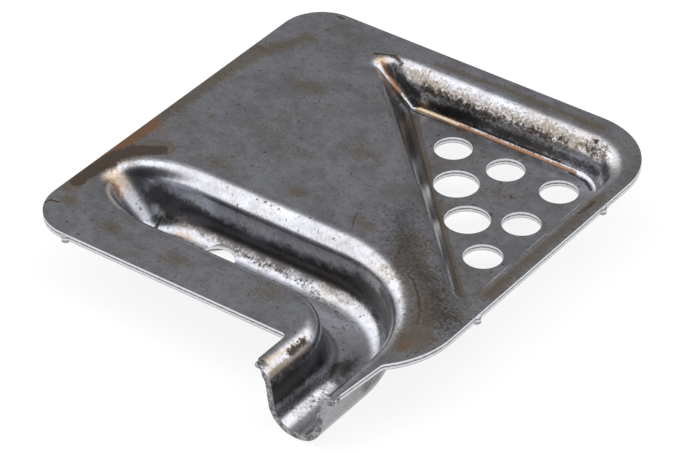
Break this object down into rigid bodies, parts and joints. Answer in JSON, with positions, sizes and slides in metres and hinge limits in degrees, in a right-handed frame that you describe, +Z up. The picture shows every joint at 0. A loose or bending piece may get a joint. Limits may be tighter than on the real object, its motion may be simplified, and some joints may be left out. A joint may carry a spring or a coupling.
{
  "type": "stamped metal bracket",
  "caption": "Pressed steel plate with rounded corners, a deep angled trough that leaves one edge as an open spout, and a three-cornered pocket with a pierced floor.",
  "frame": {"origin": "middle of the bounding box's bottom face, level with the lowest face of the trough", "axes": "+Z up, square to the flat rim; +X along the near edge, from the trough's closed end towards the spout; +Y from the spout's edge to the far edge"},
  "size_m": [0.0962, 0.1124, 0.0139],
  "materials": {
    "sheet_steel": "bare cold-rolled steel, satin, with oily brown stains and light rust"
  },
  "bodies": {
    "root": {"drain_bracket": "sheet_steel"}
  },
  "joints": []
}
